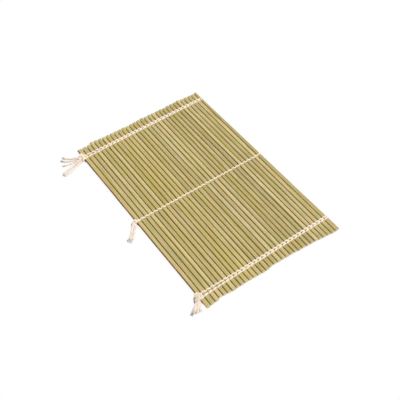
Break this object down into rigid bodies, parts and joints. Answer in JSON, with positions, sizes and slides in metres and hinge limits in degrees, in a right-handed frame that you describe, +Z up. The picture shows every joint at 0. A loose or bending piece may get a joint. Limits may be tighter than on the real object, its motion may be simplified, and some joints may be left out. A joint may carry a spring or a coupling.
{
  "type": "sushi rolling mat",
  "caption": "Bamboo sushi rolling mat: slim slats laced side by side by twined cotton cords, with knots and loose ends on one edge, so that it rolls up",
  "frame": {"origin": "on the table under slat_16's middle, where the middle cord's lower strand lies flat", "axes": "+X runs across the slats from the knotted edge to the folded edge, +Y runs along the slats, +Z is up"},
  "size_m": [0.1824, 0.2451, 0.0067],
  "materials": {
    "bamboo_straw": "satin",
    "bamboo_green": "satin",
    "bamboo_tan": "satin",
    "cotton_yarn": "matte"
  },
  "bodies": {
    "knotted_edge": {"slat_01": "bamboo_tan", "back_outer_cord": "cotton_yarn", "back_inner_cord": "cotton_yarn", "middle_cord": "cotton_yarn", "front_inner_cord": "cotton_yarn", "front_outer_cord": "cotton_yarn", "back_knot": "cotton_yarn", "middle_knot": "cotton_yarn", "front_knot": "cotton_yarn", "back_tail_strands": "cotton_yarn", "back_tail_loop": "cotton_yarn", "middle_tail_strands": "cotton_yarn", "front_tail_strands": "cotton_yarn"},
    "slat_02": {"slat_02": "bamboo_green"},
    "slat_03": {"slat_03": "bamboo_straw"},
    "slat_04": {"slat_04": "bamboo_straw"},
    "slat_05": {"slat_05": "bamboo_tan"},
    "slat_06": {"slat_06": "bamboo_green"},
    "slat_07": {"slat_07": "bamboo_straw"},
    "slat_08": {"slat_08": "bamboo_straw"},
    "slat_09": {"slat_09": "bamboo_tan"},
    "slat_10": {"slat_10": "bamboo_green"},
    "slat_11": {"slat_11": "bamboo_straw"},
    "slat_12": {"slat_12": "bamboo_straw"},
    "slat_13": {"slat_13": "bamboo_tan"},
    "slat_14": {"slat_14": "bamboo_green"},
    "slat_15": {"slat_15": "bamboo_straw"},
    "slat_16": {"slat_16": "bamboo_straw"},
    "slat_17": {"slat_17": "bamboo_tan"},
    "slat_18": {"slat_18": "bamboo_green"},
    "slat_19": {"slat_19": "bamboo_straw"},
    "slat_20": {"slat_20": "bamboo_straw"},
    "slat_21": {"slat_21": "bamboo_tan"},
    "slat_22": {"slat_22": "bamboo_green"},
    "slat_23": {"slat_23": "bamboo_straw"},
    "slat_24": {"slat_24": "bamboo_straw"},
    "slat_25": {"slat_25": "bamboo_tan"},
    "slat_26": {"slat_26": "bamboo_green"},
    "slat_27": {"slat_27": "bamboo_straw"},
    "slat_28": {"slat_28": "bamboo_straw"},
    "slat_29": {"slat_29": "bamboo_tan"},
    "slat_30": {"slat_30": "bamboo_green"},
    "slat_31": {"slat_31": "bamboo_straw"},
    "slat_32": {"slat_32": "bamboo_straw"}
  },
  "joints": [
    {"name": "bend_01", "type": "hinge", "parent": "knotted_edge", "child": "slat_02", "pos_m": [-0.06974, 0, 0.00186], "axis": [0, -1, 0], "range_deg": [-7.5, 7.5], "deforming": ["back_outer_cord", "back_inner_cord", "middle_cord", "front_inner_cord", "front_outer_cord"]},
    {"name": "bend_02", "type": "hinge", "parent": "slat_02", "child": "slat_03", "pos_m": [-0.06437, 0, 0.00186], "axis": [0, -1, 0], "range_deg": [-12.5, 12.5], "deforming": ["back_outer_cord", "back_inner_cord", "middle_cord", "front_inner_cord", "front_outer_cord"]},
    {"name": "bend_03", "type": "hinge", "parent": "slat_03", "child": "slat_04", "pos_m": [-0.05966, 0, 0.00186], "axis": [0, -1, 0], "range_deg": [-15.5, 15.5], "deforming": ["back_outer_cord", "back_inner_cord", "middle_cord", "front_inner_cord", "front_outer_cord"]},
    {"name": "bend_04", "type": "hinge", "parent": "slat_04", "child": "slat_05", "pos_m": [-0.05486, 0, 0.00186], "axis": [0, -1, 0], "range_deg": [-17, 17], "deforming": ["back_outer_cord", "back_inner_cord", "middle_cord", "front_inner_cord", "front_outer_cord"]},
    {"name": "bend_05", "type": "hinge", "parent": "slat_05", "child": "slat_06", "pos_m": [-0.05021, 0, 0.00186], "axis": [0, -1, 0], "range_deg": [-17.5, 17.5], "deforming": ["back_outer_cord", "back_inner_cord", "middle_cord", "front_inner_cord", "front_outer_cord"]},
    {"name": "bend_06", "type": "hinge", "parent": "slat_06", "child": "slat_07", "pos_m": [-0.04546, 0, 0.00186], "axis": [0, -1, 0], "range_deg": [-18, 18], "deforming": ["back_outer_cord", "back_inner_cord", "middle_cord", "front_inner_cord", "front_outer_cord"]},
    {"name": "bend_07", "type": "hinge", "parent": "slat_07", "child": "slat_08", "pos_m": [-0.04051, 0, 0.00186], "axis": [0, -1, 0], "range_deg": [-18, 18], "deforming": ["back_outer_cord", "back_inner_cord", "middle_cord", "front_inner_cord", "front_outer_cord"]},
    {"name": "bend_08", "type": "hinge", "parent": "slat_08", "child": "slat_09", "pos_m": [-0.03581, 0, 0.00186], "axis": [0, -1, 0], "range_deg": [-18, 18], "deforming": ["back_outer_cord", "back_inner_cord", "middle_cord", "front_inner_cord", "front_outer_cord"]},
    {"name": "bend_09", "type": "hinge", "parent": "slat_09", "child": "slat_10", "pos_m": [-0.0311, 0, 0.00186], "axis": [0, -1, 0], "range_deg": [-18.5, 18.5], "deforming": ["back_outer_cord", "back_inner_cord", "middle_cord", "front_inner_cord", "front_outer_cord"]},
    {"name": "bend_10", "type": "hinge", "parent": "slat_10", "child": "slat_11", "pos_m": [-0.0263, 0, 0.00186], "axis": [0, -1, 0], "range_deg": [-19, 19], "deforming": ["back_outer_cord", "back_inner_cord", "middle_cord", "front_inner_cord", "front_outer_cord"]},
    {"name": "bend_11", "type": "hinge", "parent": "slat_11", "child": "slat_12", "pos_m": [-0.02141, 0, 0.00186], "axis": [0, -1, 0], "range_deg": [-19.5, 19.5], "deforming": ["back_outer_cord", "back_inner_cord", "middle_cord", "front_inner_cord", "front_outer_cord"]},
    {"name": "bend_12", "type": "hinge", "parent": "slat_12", "child": "slat_13", "pos_m": [-0.01661, 0, 0.00186], "axis": [0, -1, 0], "range_deg": [-19.5, 19.5], "deforming": ["back_outer_cord", "back_inner_cord", "middle_cord", "front_inner_cord", "front_outer_cord"]},
    {"name": "bend_13", "type": "hinge", "parent": "slat_13", "child": "slat_14", "pos_m": [-0.01181, 0, 0.00186], "axis": [0, -1, 0], "range_deg": [-19.5, 19.5], "deforming": ["back_outer_cord", "back_inner_cord", "middle_cord", "front_inner_cord", "front_outer_cord"]},
    {"name": "bend_14", "type": "hinge", "parent": "slat_14", "child": "slat_15", "pos_m": [-0.00725, 0, 0.00186], "axis": [0, -1, 0], "range_deg": [-19.5, 19.5], "deforming": ["back_outer_cord", "back_inner_cord", "middle_cord", "front_inner_cord", "front_outer_cord"]},
    {"name": "bend_15", "type": "hinge", "parent": "slat_15", "child": "slat_16", "pos_m": [-0.00254, 0, 0.00186], "axis": [0, -1, 0], "range_deg": [-21, 21], "deforming": ["back_outer_cord", "back_inner_cord", "middle_cord", "front_inner_cord", "front_outer_cord"]},
    {"name": "bend_16", "type": "hinge", "parent": "slat_16", "child": "slat_17", "pos_m": [0.00254, 0, 0.00186], "axis": [0, -1, 0], "range_deg": [-22, 22], "deforming": ["back_outer_cord", "back_inner_cord", "middle_cord", "front_inner_cord", "front_outer_cord"]},
    {"name": "bend_17", "type": "hinge", "parent": "slat_17", "child": "slat_18", "pos_m": [0.00734, 0, 0.00186], "axis": [0, -1, 0], "range_deg": [-22, 22], "deforming": ["back_outer_cord", "back_inner_cord", "middle_cord", "front_inner_cord", "front_outer_cord"]},
    {"name": "bend_18", "type": "hinge", "parent": "slat_18", "child": "slat_19", "pos_m": [0.01219, 0, 0.00186], "axis": [0, -1, 0], "range_deg": [-22, 22], "deforming": ["back_outer_cord", "back_inner_cord", "middle_cord", "front_inner_cord", "front_outer_cord"]},
    {"name": "bend_19", "type": "hinge", "parent": "slat_19", "child": "slat_20", "pos_m": [0.01685, 0, 0.00186], "axis": [0, -1, 0], "range_deg": [-22.5, 22.5], "deforming": ["back_outer_cord", "back_inner_cord", "middle_cord", "front_inner_cord", "front_outer_cord"]},
    {"name": "bend_20", "type": "hinge", "parent": "slat_20", "child": "slat_21", "pos_m": [0.02179, 0, 0.00186], "axis": [0, -1, 0], "range_deg": [-24, 24], "deforming": ["back_outer_cord", "back_inner_cord", "middle_cord", "front_inner_cord", "front_outer_cord"]},
    {"name": "bend_21", "type": "hinge", "parent": "slat_21", "child": "slat_22", "pos_m": [0.02669, 0, 0.00186], "axis": [0, -1, 0], "range_deg": [-23, 23], "deforming": ["back_outer_cord", "back_inner_cord", "middle_cord", "front_inner_cord", "front_outer_cord"]},
    {"name": "bend_22", "type": "hinge", "parent": "slat_22", "child": "slat_23", "pos_m": [0.0311, 0, 0.00186], "axis": [0, -1, 0], "range_deg": [-23, 23], "deforming": ["back_outer_cord", "back_inner_cord", "middle_cord", "front_inner_cord", "front_outer_cord"]},
    {"name": "bend_23", "type": "hinge", "parent": "slat_23", "child": "slat_24", "pos_m": [0.03566, 0, 0.00186], "axis": [0, -1, 0], "range_deg": [-25.5, 25.5], "deforming": ["back_outer_cord", "back_inner_cord", "middle_cord", "front_inner_cord", "front_outer_cord"]},
    {"name": "bend_24", "type": "hinge", "parent": "slat_24", "child": "slat_25", "pos_m": [0.0408, 0, 0.00186], "axis": [0, -1, 0], "range_deg": [-26, 26], "deforming": ["back_outer_cord", "back_inner_cord", "middle_cord", "front_inner_cord", "front_outer_cord"]},
    {"name": "bend_25", "type": "hinge", "parent": "slat_25", "child": "slat_26", "pos_m": [0.04536, 0, 0.00186], "axis": [0, -1, 0], "range_deg": [-26, 26], "deforming": ["back_outer_cord", "back_inner_cord", "middle_cord", "front_inner_cord", "front_outer_cord"]},
    {"name": "bend_26", "type": "hinge", "parent": "slat_26", "child": "slat_27", "pos_m": [0.05016, 0, 0.00186], "axis": [0, -1, 0], "range_deg": [-28, 28], "deforming": ["back_outer_cord", "back_inner_cord", "middle_cord", "front_inner_cord", "front_outer_cord"]},
    {"name": "bend_27", "type": "hinge", "parent": "slat_27", "child": "slat_28", "pos_m": [0.05506, 0, 0.00186], "axis": [0, -1, 0], "range_deg": [-28, 28], "deforming": ["back_outer_cord", "back_inner_cord", "middle_cord", "front_inner_cord", "front_outer_cord"]},
    {"name": "bend_28", "type": "hinge", "parent": "slat_28", "child": "slat_29", "pos_m": [0.05957, 0, 0.00186], "axis": [0, -1, 0], "range_deg": [-29, 29], "deforming": ["back_outer_cord", "back_inner_cord", "middle_cord", "front_inner_cord", "front_outer_cord"]},
    {"name": "bend_29", "type": "hinge", "parent": "slat_29", "child": "slat_30", "pos_m": [0.06446, 0, 0.00186], "axis": [0, -1, 0], "range_deg": [-30.5, 30.5], "deforming": ["back_outer_cord", "back_inner_cord", "middle_cord", "front_inner_cord", "front_outer_cord"]},
    {"name": "bend_30", "type": "hinge", "parent": "slat_30", "child": "slat_31", "pos_m": [0.06907, 0, 0.00186], "axis": [0, -1, 0], "range_deg": [-31, 31], "deforming": ["back_outer_cord", "back_inner_cord", "middle_cord", "front_inner_cord", "front_outer_cord"]},
    {"name": "bend_31", "type": "hinge", "parent": "slat_31", "child": "slat_32", "pos_m": [0.07378, 0, 0.00186], "axis": [0, -1, 0], "range_deg": [-28.5, 28.5], "deforming": ["back_outer_cord", "back_inner_cord", "middle_cord", "front_inner_cord", "front_outer_cord"]}
  ]
}
